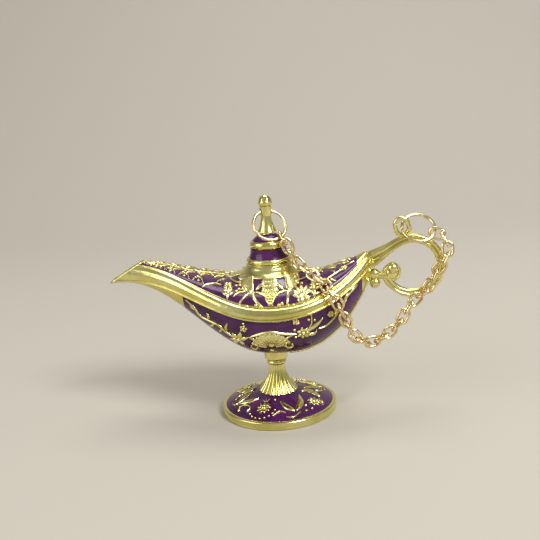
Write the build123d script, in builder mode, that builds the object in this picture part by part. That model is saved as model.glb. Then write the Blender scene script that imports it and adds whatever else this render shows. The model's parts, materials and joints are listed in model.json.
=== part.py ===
from build123d import *
import math
import os

# A small genie lamp: gold-plated castings with purple enamel let into them, a lift-off lid
# and a chain of oval links that ties the lid to the handle.
# Origin at the middle of the foot's underside, +Z up, +X to the handle, -X to the spout, in mm.

os.makedirs("parts", exist_ok=True)

# Foot
foot_radius = 15.0
foot_rim_height = 2.1
foot_rim_width = 0.9
foot_crown_height = 5.3
foot_dome = 0.3
foot_seat_radius = 4.2
foot_edge_round = 0.4
enamel_depth = 0.35

# Stem between the foot and the bowl
stem_height = 10.7
stem_foot_radius = 5.1
stem_waist_radius = 1.95
stem_flutes = 18
flute_share = 0.12
stem_bell_curve = 1.9
collar_radius = 3.05
collar_height = 2.3
collar_chamfer = 0.5
bead_radius = 2.6
bead_height = 1.3

# Screw that ties the bowl, the stem and the foot together
screw_radius = 1.0
screw_clearance = 0.05
screw_head_radius = 1.9
screw_head_height = 1.2
screw_slot_width = 0.45
screw_grip_depth = 3.8
washer_radius = 2.3
washer_thickness = 0.4
boss_radius = 2.8
boss_height = 0.9

# Body: bowl below the seam, cover with its rim band above it
body_half_width = 13.9
spout_half_width = 2.3
spout_reach = 41.3
tail_reach = 26.0
tail_end = 25.4
bowl_depth = 12.2
keel_spout_rise = 20.5
keel_tail_rise = 20.0
seam_spout_rise = 9.2
seam_tail_rise = 9.8
wall = 1.1
cavity_end = 19.0
cavity_taper = 0.93
spout_cut_angle = 30.0
spout_taper = 2.8
tail_fullness = 0.85
keel_spout_start = 2.1
keel_spout_sweep = 3.1
keel_tail_sweep = 2.95
rim_spout_sweep = 3.0
rim_tail_sweep = 2.5

# Rim band along the cover's edge
band_height = 2.8
band_spout_rise = 10.6
band_tail_rise = 10.5
band_lap = 0.3
band_groove_height = 0.25
band_ridge_share = 0.36
band_overhang = 0.35
band_ridge = 0.7
band_inset = 1.0
bead_bulge = 0.25
band_bulge = 0.35

# Domed top of the cover and its neck
deck_rise = 4.6
deck_edge_rise = 0.4
deck_spout_taper = 5.2
deck_tail_fullness = 0.9
panel_margin = 0.06
panel_neck_radius = 6.2
panel_spout_end = 33.0
panel_tail_end = 22.0
bowl_panel_spout_end = 21.8
bowl_panel_tail_end = 23.0
keel_strip = 0.7
tail_strip = 1.1
neck_height = 3.8
neck_radius = 5.6
neck_flare_radius = 6.9
neck_flare_drop = 4.7
neck_flare_bend = 0.45
neck_bore = 4.7

# Lid
plug_clearance = 0.12
plug_wall = 0.7
plug_depth = 3.2
lid_ring_radius = 5.8
lid_ring_height = 1.3
lid_ring_bulge = 0.45
lid_band_radius = 5.1
lid_waist_radius = 4.55
lid_band_height = 2.3
lid_torus_radius = 4.7
lid_torus_height = 2.0
lid_torus_bulge = 0.55
lid_dish_radius = 3.95
lid_dish_height = 1.6
lid_dish_bend = 0.6
lid_seat_radius = 2.0
lid_turn = 22.0

# Finial with the eye for its ring
finial_stud_radius = 0.8
finial_stud_length = 1.6
finial_foot_radius = 1.5
finial_foot_height = 0.6
finial_bell_radius = 2.4
finial_bell_height = 4.0
finial_neck_radius = 1.3
finial_collar_radius = 1.5
finial_collar_height = 2.3
finial_bud_radius = 1.75
finial_bud_height = 2.9
finial_bud_belly = 0.3
finial_bud_shoulder = 0.6
finial_tip_bulge = 0.1
finial_bell_bend = 0.3
finial_tip_radius = 0.25
finial_eye_radius = 0.75

# Handle: a ribbed rod that leaves the tail, loops round and curls in
handle_loop_radius = 7.05
handle_loop_reach = 10.6
handle_loop_drop = 2.1
handle_root_height = 1.2
handle_root_lap = 1.6
handle_root_radius = 1.9
handle_crown_radius = 1.15
handle_tail_radius = 1.05
handle_curl_radius = 1.45
handle_curl_angle = 120.0
handle_loop_angle = 281.0
rib_round = 0.5
rib_spread = 0.45
rib_depth = 0.4
handle_peg_radius = 0.9
handle_peg_length = 3.2
curl_ball_radius = 1.6
stub_ball_radius = 1.15
stub_ball_sink = 0.25
stub_ball_step = 2.07
stub_radius = 1.0
stub_drop = 3.9

# Eyelet cast on the handle
eyelet_angle = 103.0
eyelet_width = 4.4
eyelet_length = 5.4
eyelet_wire = 1.15
eyelet_sink = 0.5

# Split rings and chain
ring_radius = 4.1
ring_wire = 0.8
ring_split_angle = 3.0
finial_ring_lean = 35.0
finial_ring_split = 0.0
handle_ring_split = -75.0
finial_hook_angle = 40.0
handle_ring_drop = 8.0
handle_ring_tilt = -44.0
handle_hook_angle = 14.0
link_count = 30
link_length = 4.5
link_width = 3.2
link_wire = 0.74
link_gap = 0.44
chain_clear = 0.35

# Places along the chain: beside the handle's loop (x and z from its middle, share of the sidestep), as
# shares of the free stretch and of its sag, over the deck (x, y) and round the lid (radius, angle)
beside_loop = ((7.3, 7.6, 0.4), (8.4, 5.4, 0.8), (8.3, 2.9, 1), (7.1, 0.8, 1), (5.0, -1.6, 1), (4.0, -4.4, 1))
hang_shape = ((0.19, 0.26), (0.36, 0.70), (0.52, 0.92), (0.67, 1.0), (0.80, 0.88), (0.92, 0.45))
rim_cross = 15.3
rim_lead = 1.6
over_deck = ((13.0, -9.2), (10.8, -6.9))
round_lid = ((10.0, -30), (7.8, -34), (6.8, -42))

# Heights and places that follow from the sizes above
bowl_base = foot_crown_height + stem_height
seam_base = bowl_base + bowl_depth
crest_base = seam_base + band_height + deck_rise + deck_edge_rise
neck_top = crest_base + neck_height
lid_band_base = neck_top + lid_ring_height
lid_torus_base = lid_band_base + lid_band_height
lid_dish_base = lid_torus_base + lid_torus_height
lid_seat = lid_dish_base + lid_dish_height
finial_bell_base = lid_seat + finial_foot_height
finial_collar_base = finial_bell_base + finial_bell_height
finial_bud_base = finial_collar_base + finial_collar_height
finial_eye = finial_collar_base + finial_collar_height / 2
plug_radius = neck_bore - plug_clearance
spout_shares = (1, 0.9, 0.79, 0.67, 0.55, 0.42, 0.28, 0.14)
tail_shares = (0, 0.18, 0.36, 0.53, 0.68, 0.81, 0.91)
stations = [-spout_reach * share for share in spout_shares]
stations += [tail_reach * share for share in tail_shares] + [tail_end]
facing = Vector(0, -1, 0)
chain_samples = 600
chain_halvings = 40
cavity_stations = [x for x in stations if x < cavity_end - 1] + [cavity_end]


def along(x):
    """How far a station lies towards its end of the body, from 0 in the middle to 1."""
    return -x / spout_reach if x < 0 else x / tail_reach


def half_width(x):
    """Half the hull's width at the seam: a long taper to the spout, a round end at the tail."""
    fullness = 1 - along(x) ** 2
    if x < 0:
        return spout_half_width + (body_half_width - spout_half_width) * fullness**spout_taper
    return body_half_width * fullness**tail_fullness


def keel_z(x):
    """Height of the hull's lowest line."""
    u = along(x)
    if x < 0:
        return bowl_base + keel_spout_rise * (1 - (1 - u**keel_spout_start) ** keel_spout_sweep)
    return bowl_base + keel_tail_rise * u**keel_tail_sweep


def lift_share(x):
    """Share of its end's rise that a line along the body has reached at a station."""
    u = along(x)
    return 1 - (1 - u**2) ** rim_spout_sweep if x < 0 else u**rim_tail_sweep


def seam_z(x):
    """Height of the line where the cover meets the bowl."""
    return seam_base + (seam_spout_rise if x < 0 else seam_tail_rise) * lift_share(x)


def band_top_z(x):
    """Height of the rim band's upper edge."""
    return seam_base + band_height + (band_spout_rise if x < 0 else band_tail_rise) * lift_share(x)


def dome(x):
    """Rise of the cover's top above the upper edge of the band."""
    fullness = 1 - along(x) ** 2
    return deck_edge_rise + deck_rise * fullness ** (deck_spout_taper if x < 0 else deck_tail_fullness)


def deck_half(x):
    """Half the width of the cover's top between the two upper edges of the band."""
    return half_width(x) - band_inset


def deck_z(x, y):
    """Height of the cover's top over a point of the plan."""
    return band_top_z(x) + dome(x) * math.sqrt(max(0, 1 - (y / deck_half(x)) ** 2))


def hull_solid(trim):
    """Everything below the seam: half ellipses hung from it, drawn in by trim."""
    with BuildPart() as hull:
        for x in stations:
            width, seam = half_width(x) - trim, seam_z(x)
            with BuildSketch(Plane.YZ.offset(x)):
                with BuildLine():
                    EllipticalCenterArc((0, seam), width, seam - keel_z(x) - trim, 180, arc_size=180)
                    Line((width, seam), (-width, seam))
                make_face()
        loft()
    return hull.part


def cover_solid():
    """Everything above the band's lower edge: bead, groove, ridged band and domed top."""
    with BuildPart() as cover_form:
        for x in stations:
            seam, side = seam_z(x), half_width(x)
            low, groove = seam - band_lap, seam + band_groove_height
            top = band_top_z(x)
            ridge = seam + band_ridge_share * (top - seam)
            lip, edge, inner = side + band_overhang, side + band_ridge, deck_half(x)
            with BuildSketch(Plane.YZ.offset(x)):
                with BuildLine():
                    Line((-lip, low), (lip, low))
                    for way in (1, -1):
                        middle = (way * (lip + bead_bulge), (low + groove) / 2)
                        ThreePointArc((way * lip, low), middle, (way * lip, groove))
                        Line((way * lip, groove), (way * edge, ridge))
                        crown = (way * ((edge + inner) / 2 + band_bulge), (ridge + top) / 2 + band_bulge)
                        ThreePointArc((way * edge, ridge), crown, (way * inner, top))
                    EllipticalCenterArc((0, top), inner, dome(x), 0, arc_size=180)
                make_face()
        loft()
    return cover_form.part


def deck_core_solid():
    """Everything below the floor of the cover's enamel recess."""
    with BuildPart() as core:
        for x in stations:
            low, top = bowl_base, band_top_z(x) - enamel_depth
            side = deck_half(x)
            with BuildSketch(Plane.YZ.offset(x)):
                with BuildLine():
                    Polyline((-side, top), (-side, low), (side, low), (side, top))
                    EllipticalCenterArc((0, top), side, dome(x), 0, arc_size=180)
                make_face()
        loft()
    return core.part


def cavity_solid():
    """The hollow inside bowl, cover and spout, one wall in from the outside."""
    with BuildPart() as cavity:
        for x in cavity_stations:
            floor, ceiling = keel_z(x) + wall, deck_z(x, 0) - wall
            width = (half_width(x) - wall) * cavity_taper
            middle, reach = (floor + ceiling) / 2, (ceiling - floor) / 2
            with BuildSketch(Plane.YZ.offset(x)):
                with BuildLine():
                    EllipticalCenterArc((0, middle), width, reach, 180, arc_size=180)
                    EllipticalCenterArc((0, middle), width, reach, 0, arc_size=180)
                make_face()
        loft()
    return cavity.part


def bowl_recess_solid(way):
    """One side's enamel recess: its outline seen from the side, down to the recess floor."""
    upper = [x for x in stations if -bowl_panel_spout_end < x < bowl_panel_tail_end]
    upper = [-bowl_panel_spout_end] + upper + [bowl_panel_tail_end]
    lower = [bowl_panel_tail_end * share for share in (1, 0.85, 0.68, 0.5, 0.3)]
    far = 2 * body_half_width
    with BuildPart() as panel:
        with BuildSketch(Plane.XZ):
            with BuildLine():
                top_edge = Spline([(x, seam_z(x) - band_lap) for x in upper])
                low_edge = Spline([(x, keel_z(x) + tail_strip) for x in lower])
                Line(top_edge @ 1, low_edge @ 0)
                corner = (low_edge @ 1).X
                floor = bowl_base - wall
                Polyline(low_edge @ 1, (corner, floor), (-bowl_panel_spout_end, floor), top_edge @ 0)
            make_face()
        extrude(amount=-way * far)
        Box(6 * far, 2 * keel_strip, 6 * far, mode=Mode.SUBTRACT)
        Cylinder(collar_radius, 3 * bowl_base, mode=Mode.SUBTRACT)
        add(hull_core, mode=Mode.SUBTRACT)
    return panel.part


def deck_panel_solid():
    """The cover's enamel panel as a block: its outline from above, with the neck left out."""
    inside = [x for x in stations if -panel_spout_end < x < panel_tail_end]
    inside = [-panel_spout_end] + inside + [panel_tail_end]
    with BuildPart() as panel:
        with BuildSketch(Plane.XY.offset(seam_base)):
            with BuildLine():
                front = Spline([(x, panel_margin - deck_half(x)) for x in inside])
                back = Spline([(x, deck_half(x) - panel_margin) for x in inside])
                Line(front @ 0, back @ 0)
                Line(front @ 1, back @ 1)
            make_face()
            Circle(panel_neck_radius, mode=Mode.SUBTRACT)
        extrude(amount=band_spout_rise + 2 * band_height)
    return panel.part


def ring_frame(eye, down, across):
    """Plane of a split ring that hangs in an eye: x along its drop, y along the eye's axis."""
    return Plane(origin=eye + down * ring_radius, x_dir=down, z_dir=down.cross(across))


def ring_solid(frame, split_at):
    """A split ring: a round wire turned almost once round, split at an angle from its lowest point."""
    turn = math.radians(split_at + ring_split_angle / 2)
    start = frame.x_dir * math.cos(turn) + frame.y_dir * math.sin(turn)
    start = Plane(frame.origin, x_dir=start, z_dir=start.cross(frame.z_dir))
    with BuildPart() as ring:
        with BuildSketch(start):
            with Locations((ring_radius, 0)):
                Circle(ring_wire / 2)
        revolve(axis=Axis(frame.origin, frame.z_dir), revolution_arc=360 - ring_split_angle)
    return ring.part


def waist_edge(sink):
    """Edge of the lid's waist in section, sunk inwards by a depth."""
    low, high = lid_band_radius - sink, lid_waist_radius - sink
    middle = ((low + 3 * high) / 4, lid_band_base + lid_band_height / 2)
    return ThreePointArc((low, lid_band_base), middle, (high, lid_torus_base))


def dish_edge(sink):
    """Edge of the lid's domed top in section, sunk downwards by a depth."""
    middle = ((lid_dish_radius + lid_seat_radius) / 2, lid_dish_base + lid_dish_bend * lid_dish_height - sink)
    return ThreePointArc((lid_dish_radius, lid_dish_base - sink), middle, (lid_seat_radius, lid_seat - sink))


def rod_section(place, radius):
    """A ribbed rod's section: a round core with four round ribs, so that a groove runs along each side."""
    out, side = radius * rib_spread, radius * rib_depth
    with BuildSketch(place) as section:
        Circle(radius * rib_round)
        with Locations((out, side), (-out, side), (out, -side), (-out, -side)):
            Circle(radius * rib_round)
    return section.sketch


def loop_frame(centre, radius, angle):
    """Section plane of a rod that runs clockwise round a centre, at an angle from +X."""
    outward = Vector(math.cos(math.radians(angle)), 0, math.sin(math.radians(angle)))
    return Plane(origin=centre + outward * radius, x_dir=outward, z_dir=outward.cross(facing))


def polar(radius, angle, height):
    """A point at a radius and an angle round the lamp's upright axis."""
    return Vector(radius, 0, height).rotate(Axis.Z, angle)


def oval_solid(length, width, wire):
    """An oval loop: a round wire carried round a track of two straights and two half circles."""
    bow = (width - wire) / 2
    straight = (length - width) / 2
    with BuildPart() as oval:
        with BuildLine():
            first = Line((-straight, bow), (straight, bow))
            ThreePointArc((straight, bow), (straight + bow, 0), (straight, -bow))
            Line((straight, -bow), (-straight, -bow))
            ThreePointArc((-straight, -bow), (-straight - bow, 0), (-straight, bow))
        with BuildSketch(Plane(origin=first @ 0, z_dir=first % 0)):
            Circle(wire / 2)
        sweep()
    return oval.part


def chain_steps(points, pitch):
    """Hinge points one pitch apart along a smooth line, and how many pitches reach its end."""
    line = Spline(points)
    fine = [line @ (step / chain_samples) for step in range(chain_samples + 1)]
    hinges, count = [fine[0]], 0
    for before, after in zip(fine, fine[1:]):
        while (after - hinges[-1]).length >= pitch:
            near, far = 0.0, 1.0
            for _ in range(chain_halvings):
                share = (near + far) / 2
                reach = (before + (after - before) * share - hinges[-1]).length
                near, far = (share, far) if reach < pitch else (near, share)
            hinges.append(before + (after - before) * near)
            count += 1
    return hinges, count + (fine[-1] - hinges[-1]).length / pitch


def hook_point(frame, angle):
    """Where a chain link bears on a ring: inside its wire, at an angle from its lowest point."""
    outward = frame.x_dir * math.cos(math.radians(angle)) + frame.y_dir * math.sin(math.radians(angle))
    return frame.origin + outward * (ring_radius - ring_wire / 2 - link_gap / 2)


# Solids that several pieces are cut from
hull_form = hull_solid(0)
hull_core = hull_solid(enamel_depth)
bowl_recesses = {"front": bowl_recess_solid(-1), "back": bowl_recess_solid(1)}
cover_form = cover_solid()
cavity = cavity_solid()
deck_panel = deck_panel_solid()
deck_core = deck_core_solid()
spout_cut = Plane(
    origin=(-spout_reach, 0, keel_z(-spout_reach)),
    x_dir=(0, 1, 0),
    z_dir=(-math.sin(math.radians(spout_cut_angle)), 0, math.cos(math.radians(spout_cut_angle))),
)

# Where the handle's rod leaves the tail, and the loop that it runs round
tail_point = Vector(tail_end, 0, seam_z(tail_end) + handle_root_height)
loop_centre = tail_point + Vector(handle_loop_reach, 0, -handle_loop_drop)
to_centre = loop_centre - tail_point
rise = math.atan2(to_centre.Z, to_centre.X) + math.asin(handle_loop_radius / to_centre.length)
rise_way = Vector(math.cos(rise), 0, math.sin(rise))
peg_frame = Plane(origin=tail_point, z_dir=-rise_way)
tail_cut = Plane(origin=tail_point, z_dir=rise_way)

with BuildPart() as neck:
    with BuildSketch(Plane.XZ):
        with BuildLine():
            low = neck_top - neck_height - neck_flare_drop / 2
            flare_low = (neck_flare_radius, neck_top - neck_flare_drop)
            half_flare = (neck_radius + neck_flare_radius) / 2
            flare_bend = (half_flare - neck_flare_bend / 2, neck_top - neck_flare_drop / 2)
            ThreePointArc(flare_low, flare_bend, (neck_radius, neck_top))
            Polyline((neck_radius, neck_top), (neck_bore, neck_top), (neck_bore, low))
            Polyline((neck_bore, low), (neck_flare_radius, low), flare_low)
        make_face()
    revolve(axis=Axis.Z)

# Foot: a solid dished disc with a flat underside and a recess for its enamel
with BuildPart() as foot:
    rim_inner = foot_radius - foot_rim_width
    middle = (rim_inner + foot_seat_radius) / 2
    middle_height = (foot_rim_height + foot_crown_height) / 2 + foot_dome
    with BuildSketch(Plane.XZ):
        with BuildLine():
            Polyline((rim_inner, foot_rim_height), (foot_radius, foot_rim_height), (foot_radius, 0), (0, 0))
            Polyline((0, 0), (0, foot_crown_height), (foot_seat_radius, foot_crown_height))
            Line((foot_seat_radius, foot_crown_height), (foot_seat_radius, foot_crown_height - enamel_depth))
            ThreePointArc(
                (foot_seat_radius, foot_crown_height - enamel_depth),
                (middle, middle_height - enamel_depth),
                (rim_inner, foot_rim_height - enamel_depth),
            )
            Line((rim_inner, foot_rim_height - enamel_depth), (rim_inner, foot_rim_height))
        make_face()
    revolve(axis=Axis.Z)
    circles = foot.edges().filter_by(GeomType.CIRCLE)
    fillet(circles.filter_by(lambda edge: math.isclose(edge.radius, foot_radius)), foot_edge_round)
    with Locations((0, 0, foot_crown_height)):
        Cylinder(
            screw_radius, screw_grip_depth, align=(Align.CENTER, Align.CENTER, Align.MAX), mode=Mode.SUBTRACT
        )
foot.part.label = "foot"
export_step(foot.part, "parts/foot.step")

with BuildPart() as foot_enamel:
    with BuildSketch(Plane.XZ):
        with BuildLine():
            for sink in (0, enamel_depth):
                ThreePointArc(
                    (foot_seat_radius, foot_crown_height - sink),
                    (middle, middle_height - sink),
                    (rim_inner, foot_rim_height - sink),
                )
            Line((foot_seat_radius, foot_crown_height), (foot_seat_radius, foot_crown_height - enamel_depth))
            Line((rim_inner, foot_rim_height), (rim_inner, foot_rim_height - enamel_depth))
        make_face()
    revolve(axis=Axis.Z)
foot_enamel.part.label = "foot_enamel"
export_step(foot_enamel.part, "parts/foot_enamel.step")

# Stem: a fluted bell with a scalloped lower edge, a bead and a collar cut to the bowl's hull
collar_base = bowl_base - collar_height
bead_base = collar_base - bead_height
bell_height = bead_base - foot_crown_height
with BuildPart() as stem:
    for share in (0, 0.2, 0.45, 0.72, 1):
        radius = stem_waist_radius + (stem_foot_radius - stem_waist_radius) * (1 - share) ** stem_bell_curve
        with BuildSketch(Plane.XY.offset(foot_crown_height + share * bell_height)):
            with BuildLine():
                valley = radius * (1 - flute_share)
                step = 360 / stem_flutes
                for turn in range(stem_flutes):
                    start, crown, end = (polar(1, step * (turn + part), 0) for part in (0, 0.5, 1))
                    ThreePointArc(start * valley, crown * radius, end * valley)
            make_face()
    loft()
    with BuildSketch(Plane.XZ):
        with BuildLine():
            waist = stem_waist_radius
            collar_top, collar_edge = bowl_base + wall, collar_base + collar_chamfer
            Polyline((waist, bead_base), (0, bead_base), (0, collar_top), (collar_radius, collar_top))
            Polyline((collar_radius, collar_top), (collar_radius, collar_edge), (waist, collar_base))
            bead_crown = (bead_radius, (bead_base + collar_base) / 2)
            ThreePointArc((waist, collar_base), bead_crown, (waist, bead_base))
        make_face()
    revolve(axis=Axis.Z)
    add(hull_form, mode=Mode.SUBTRACT)
    bore = screw_radius + screw_clearance
    Cylinder(bore, 3 * bowl_base, mode=Mode.SUBTRACT)
stem.part.label = "stem"
export_step(stem.part, "parts/stem.step")

# Bowl: the lower shell with a boss inside for the screw and a recess on each side for its enamel
boss_top = bowl_base + wall + boss_height
with BuildPart() as bowl:
    add(hull_form)
    add(cavity, mode=Mode.SUBTRACT)
    with BuildSketch(Plane.XY.offset(bowl_base + wall / 2)):
        Circle(boss_radius)
    extrude(amount=boss_top - bowl_base - wall / 2)
    for recess in bowl_recesses.values():
        add(recess, mode=Mode.SUBTRACT)
    Cylinder(bore, 2 * boss_top, mode=Mode.SUBTRACT)
    split(bisect_by=spout_cut, keep=Keep.BOTTOM)
    split(bisect_by=tail_cut, keep=Keep.BOTTOM)
bowl.part.label = "bowl"
export_step(bowl.part, "parts/bowl.step")

for side, recess in bowl_recesses.items():
    with BuildPart() as bowl_enamel:
        add(recess)
        add(hull_form, mode=Mode.INTERSECT)
    bowl_enamel.part.label = f"bowl_enamel_{side}"
    export_step(bowl_enamel.part, f"parts/bowl_enamel_{side}.step")

# Screw and washer on the bowl's boss
with BuildPart() as pedestal_washer:
    with BuildSketch(Plane.XY.offset(boss_top)):
        Circle(washer_radius)
        Circle(bore, mode=Mode.SUBTRACT)
    extrude(amount=washer_thickness)
pedestal_washer.part.label = "pedestal_washer"
export_step(pedestal_washer.part, "parts/pedestal_washer.step")

head_base = boss_top + washer_thickness
with BuildPart() as pedestal_screw:
    with BuildSketch(Plane.XY.offset(head_base)):
        Circle(screw_head_radius)
    extrude(amount=screw_head_height)
    fillet(pedestal_screw.edges().sort_by(Axis.Z)[-1], screw_head_height / 3)
    with BuildSketch(Plane.XY.offset(foot_crown_height - screw_grip_depth)):
        Circle(screw_radius)
    extrude(amount=head_base - foot_crown_height + screw_grip_depth)
    with Locations((0, 0, head_base + screw_head_height)):
        Box(2 * screw_head_radius, screw_slot_width, screw_head_height, mode=Mode.SUBTRACT)
pedestal_screw.part.label = "pedestal_screw"
export_step(pedestal_screw.part, "parts/pedestal_screw.step")

# Cover: the upper shell with the rim band, the flared neck and a recess for its enamel
with BuildPart() as deck_recess:
    add(deck_panel)
    add(deck_core, mode=Mode.SUBTRACT)
    add(neck.part, mode=Mode.SUBTRACT)

with BuildPart() as cover:
    add(cover_form)
    add(hull_form, mode=Mode.SUBTRACT)
    add(cavity, mode=Mode.SUBTRACT)
    add(neck.part)
    add(deck_recess.part, mode=Mode.SUBTRACT)
    with Locations((0, 0, neck_top)):
        Cylinder(neck_bore, 4 * neck_flare_drop, mode=Mode.SUBTRACT)
    with BuildSketch(peg_frame.offset(-handle_peg_length)):
        Circle(handle_peg_radius)
    extrude(amount=2 * handle_peg_length, mode=Mode.SUBTRACT)
    split(bisect_by=spout_cut, keep=Keep.BOTTOM)
    split(bisect_by=tail_cut, keep=Keep.BOTTOM)
cover.part.label = "cover"
export_step(cover.part, "parts/cover.step")

with BuildPart() as cover_enamel:
    add(deck_recess.part)
    add(cover_form, mode=Mode.INTERSECT)
cover_enamel.part.label = "cover_enamel"
export_step(cover_enamel.part, "parts/cover_enamel.step")

# Lid: a hollow cap with a plug skirt, a ring, an enamelled waist, a rounded collar and a dish
with BuildPart() as lid:
    with BuildSketch(Plane.XZ):
        with BuildLine():
            plug_low = neck_top - plug_depth
            plug_inner = plug_radius - plug_wall
            ring_flat = lid_ring_radius - lid_ring_bulge
            torus_flat = lid_torus_radius - lid_torus_bulge
            ceiling = lid_seat - finial_stud_length
            Polyline((plug_inner, plug_low), (plug_radius, plug_low), (plug_radius, neck_top))
            Line((plug_radius, neck_top), (ring_flat, neck_top))
            ring_crown = (lid_ring_radius, neck_top + lid_ring_height / 2)
            ThreePointArc((ring_flat, neck_top), ring_crown, (ring_flat, lid_band_base))
            waist = waist_edge(enamel_depth)
            Line((ring_flat, lid_band_base), waist @ 0)
            Line(waist @ 1, (torus_flat, lid_torus_base))
            torus_crown = (lid_torus_radius, lid_torus_base + lid_torus_height / 2)
            ThreePointArc((torus_flat, lid_torus_base), torus_crown, (torus_flat, lid_dish_base))
            dish = dish_edge(enamel_depth)
            Polyline((torus_flat, lid_dish_base), (lid_dish_radius, lid_dish_base), dish @ 0)
            Polyline(dish @ 1, (lid_seat_radius, lid_seat), (finial_stud_radius, lid_seat))
            Line((finial_stud_radius, lid_seat), (finial_stud_radius, ceiling))
            Line((finial_stud_radius, ceiling), (plug_inner, lid_band_base))
            Line((plug_inner, lid_band_base), (plug_inner, plug_low))
        make_face()
    revolve(axis=Axis.Z)
lid.part.label = "lid"
export_step(lid.part, "parts/lid.step")

for name, edge in (("lid_band_enamel", waist_edge), ("lid_dish_enamel", dish_edge)):
    with BuildPart() as lid_enamel:
        with BuildSketch(Plane.XZ):
            with BuildLine():
                outside = edge(0)
                inside = edge(enamel_depth)
                Line(outside @ 0, inside @ 0)
                Line(outside @ 1, inside @ 1)
            make_face()
        revolve(axis=Axis.Z)
    lid_enamel.part.label = name
    export_step(lid_enamel.part, f"parts/{name}.step")

# Finial: stud, foot, bell, a collar with a cross hole and a bud
eye_way = Vector(1, 0, 0).rotate(Axis.Z, lid_turn)
eye_point = Vector(0, 0, finial_eye)
with BuildPart() as finial:
    with BuildSketch(Plane.XZ):
        with BuildLine():
            stud_low = lid_seat - finial_stud_length
            bud_top = finial_bud_base + finial_bud_height
            bud_shoulder = finial_bud_base + finial_bud_shoulder * finial_bud_height
            Polyline((0, stud_low), (finial_stud_radius, stud_low), (finial_stud_radius, lid_seat))
            Polyline((finial_stud_radius, lid_seat), (finial_foot_radius, lid_seat))
            Polyline((finial_foot_radius, lid_seat), (finial_foot_radius, finial_bell_base))
            Line((finial_foot_radius, finial_bell_base), (finial_bell_radius, finial_bell_base))
            bell_middle = finial_neck_radius + finial_bell_bend * (finial_bell_radius - finial_neck_radius)
            ThreePointArc(
                (finial_bell_radius, finial_bell_base),
                (bell_middle, finial_bell_base + finial_bell_height / 2),
                (finial_neck_radius, finial_collar_base),
            )
            Line((finial_neck_radius, finial_collar_base), (finial_collar_radius, finial_collar_base))
            Line((finial_collar_radius, finial_collar_base), (finial_collar_radius, finial_bud_base))
            Line((finial_collar_radius, finial_bud_base), (finial_neck_radius, finial_bud_base))
            ThreePointArc(
                (finial_neck_radius, finial_bud_base),
                (finial_bud_radius, finial_bud_base + finial_bud_belly * finial_bud_height),
                (finial_neck_radius, bud_shoulder),
            )
            bud_slope = (finial_neck_radius + finial_tip_radius) / 2 + finial_tip_bulge
            bud_side = (bud_slope, (bud_shoulder + bud_top) / 2)
            ThreePointArc((finial_neck_radius, bud_shoulder), bud_side, (finial_tip_radius, bud_top))
            Polyline((finial_tip_radius, bud_top), (0, bud_top), (0, stud_low))
        make_face()
    revolve(axis=Axis.Z)
    with BuildSketch(Plane(origin=eye_point, z_dir=eye_way)):
        Circle(finial_eye_radius)
    extrude(amount=finial_bell_radius, both=True, mode=Mode.SUBTRACT)
finial.part.label = "finial"
export_step(finial.part, "parts/finial.step")

# Handle: ribbed rod with its curl, eyelet, the balls that rest against the tail, and a peg
run = math.sqrt(to_centre.length**2 - handle_loop_radius**2)
eyelet_reach = handle_loop_radius + handle_crown_radius + eyelet_length / 2 - eyelet_sink
eyelet_frame = loop_frame(loop_centre, eyelet_reach, eyelet_angle)
eyelet_frame = Plane(eyelet_frame.origin, x_dir=eyelet_frame.x_dir, z_dir=(0, -1, 0))
eyelet = oval_solid(eyelet_length, eyelet_width, eyelet_wire)

rod_sections = []
for share in (0, 0.35, 0.7):
    start = tail_point + rise_way * ((run + handle_root_lap) * share - handle_root_lap)
    place = Plane(start, x_dir=facing.cross(rise_way), z_dir=rise_way)
    radius = handle_root_radius + (handle_crown_radius - handle_root_radius) * share
    rod_sections.append(rod_section(place, radius))
loop_start = math.degrees(rise) + 90
loop_steps = 12
for step in range(loop_steps + 1):
    share = step / loop_steps
    place = loop_frame(loop_centre, handle_loop_radius, loop_start - handle_loop_angle * share)
    radius = handle_crown_radius + (handle_tail_radius - handle_crown_radius) * share
    rod_sections.append(rod_section(place, radius))
curl_start = loop_start - handle_loop_angle
curl_centre = loop_frame(loop_centre, handle_loop_radius - handle_curl_radius, curl_start).origin
for share in (0.35, 0.7, 1):
    place = loop_frame(curl_centre, handle_curl_radius, curl_start - handle_curl_angle * share)
    rod_sections.append(rod_section(place, handle_tail_radius))
upper_ball = tail_point + Vector(stub_ball_radius - stub_ball_sink, 0, -stub_drop)
lower_ball = upper_ball - Vector(0, 0, stub_ball_step)
stub_end = loop_frame(loop_centre, handle_loop_radius, curl_start).origin
with BuildPart() as handle:
    loft(rod_sections)
    with Locations(place.origin):
        Sphere(curl_ball_radius)
    with Locations(upper_ball, lower_ball):
        Sphere(stub_ball_radius)
    with BuildSketch(Plane(origin=upper_ball, z_dir=stub_end - upper_ball)):
        Circle(stub_radius)
    extrude(amount=(stub_end - upper_ball).length)
    with Locations(stub_end):
        Sphere(stub_radius)
    with Locations(eyelet_frame):
        add(eyelet)
    add(cover.part, mode=Mode.SUBTRACT)
    add(bowl.part, mode=Mode.SUBTRACT)
    with BuildSketch(peg_frame.offset(-handle_root_radius)):
        Circle(handle_peg_radius)
    extrude(amount=handle_peg_length + handle_root_radius)
handle.part.label = "handle"
export_step(handle.part, "parts/handle.step")

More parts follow.
